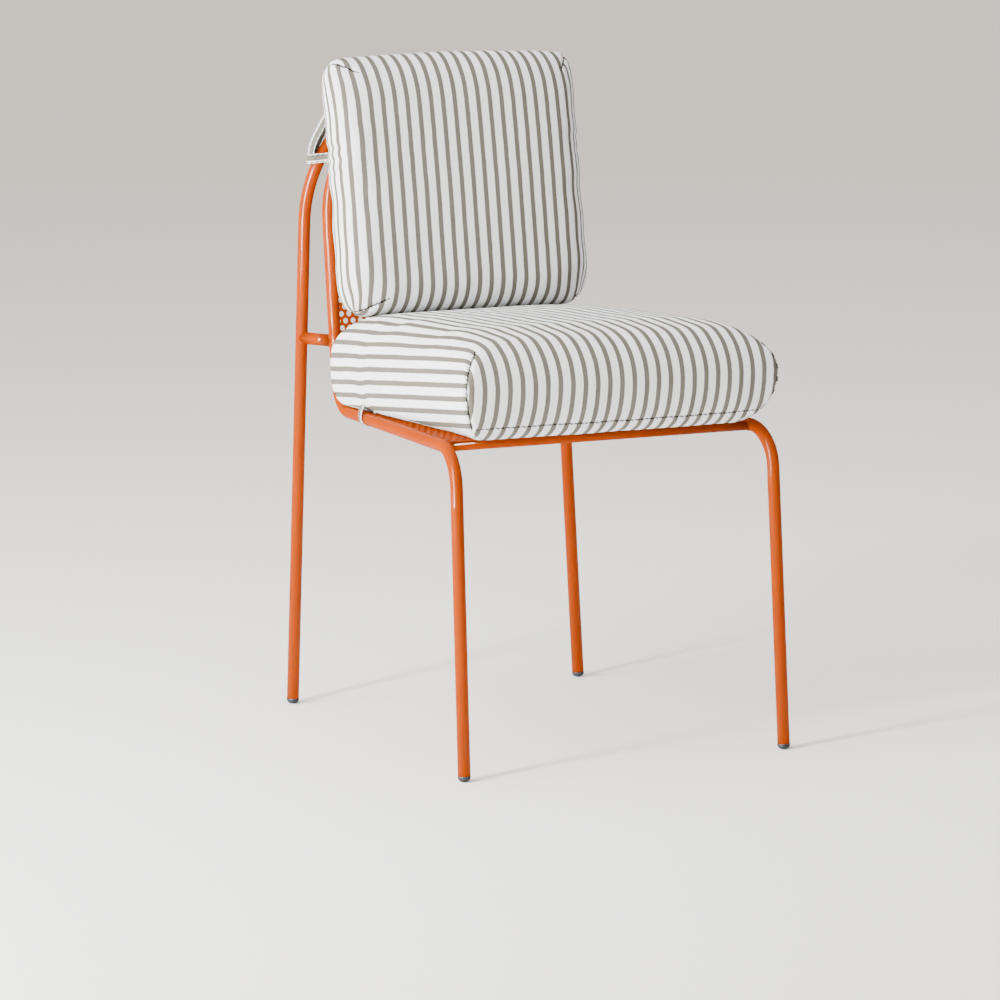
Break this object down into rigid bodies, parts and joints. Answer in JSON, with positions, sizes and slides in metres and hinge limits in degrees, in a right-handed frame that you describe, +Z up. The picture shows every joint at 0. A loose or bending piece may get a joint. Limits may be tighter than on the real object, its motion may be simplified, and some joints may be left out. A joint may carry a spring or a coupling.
{
  "type": "patio chair",
  "caption": "Stacking patio chair of bent steel tube with a perforated seat and back, and thick striped cushions held on by fabric loops.",
  "frame": {"origin": "centre of the footprint, on the floor under the feet", "axes": "+Z up, the sitter faces -Y, +X to the sitter's left"},
  "size_m": [0.4382, 0.5498, 0.8019],
  "materials": {
    "powder_coat": "satin powder coat",
    "cap_plastic": "moulded, matte",
    "striped_canvas": "woven canvas with narrow taupe stripes on off-white",
    "foam": "open-cell foam, hidden inside the covers",
    "zip_tape": "woven zip tape with moulded teeth",
    "zinc": "die-cast zinc"
  },
  "bodies": {
    "chair": {"side_frame_left": "powder_coat", "side_frame_right": "powder_coat", "rear_leg_left": "powder_coat", "rear_leg_right": "powder_coat", "strut_left": "powder_coat", "strut_right": "powder_coat", "weld_strut_front_left": "powder_coat", "weld_strut_front_right": "powder_coat", "weld_strut_rear_left": "powder_coat", "weld_strut_rear_right": "powder_coat", "back_hoop": "powder_coat", "rear_arch": "powder_coat", "weld_crown_front": "powder_coat", "weld_crown_rear": "powder_coat", "seat_sheet": "powder_coat", "front_tie_tube": "powder_coat", "rear_tie_tube": "powder_coat", "weld_front_tie_left": "powder_coat", "weld_front_tie_right": "powder_coat", "weld_rear_tie_left": "powder_coat", "weld_rear_tie_right": "powder_coat", "back_sheet": "powder_coat", "foot_cap_front_left": "cap_plastic", "foot_cap_front_right": "cap_plastic", "foot_cap_rear_left": "cap_plastic", "foot_cap_rear_right": "cap_plastic", "seat_cushion_cover": "striped_canvas", "seat_cushion_foam": "foam", "seat_cushion_zip": "zip_tape", "back_cushion_cover": "striped_canvas", "back_cushion_foam": "foam", "back_cushion_zip": "zip_tape", "seat_loop_left": "striped_canvas", "seat_loop_right": "striped_canvas", "back_loop_left": "striped_canvas", "back_loop_right": "striped_canvas"},
    "seat_zip_slider": {"seat_cushion_zip_slider": "zinc"},
    "back_zip_slider": {"back_cushion_zip_slider": "zinc"}
  },
  "joints": [
    {"name": "seat_zip_run", "type": "slide", "parent": "chair", "child": "seat_zip_slider", "axis": [1, 0, 0], "range_m": [0, 0.232]},
    {"name": "back_zip_run", "type": "slide", "parent": "chair", "child": "back_zip_slider", "axis": [1, 0, 0], "range_m": [0, 0.222]}
  ]
}
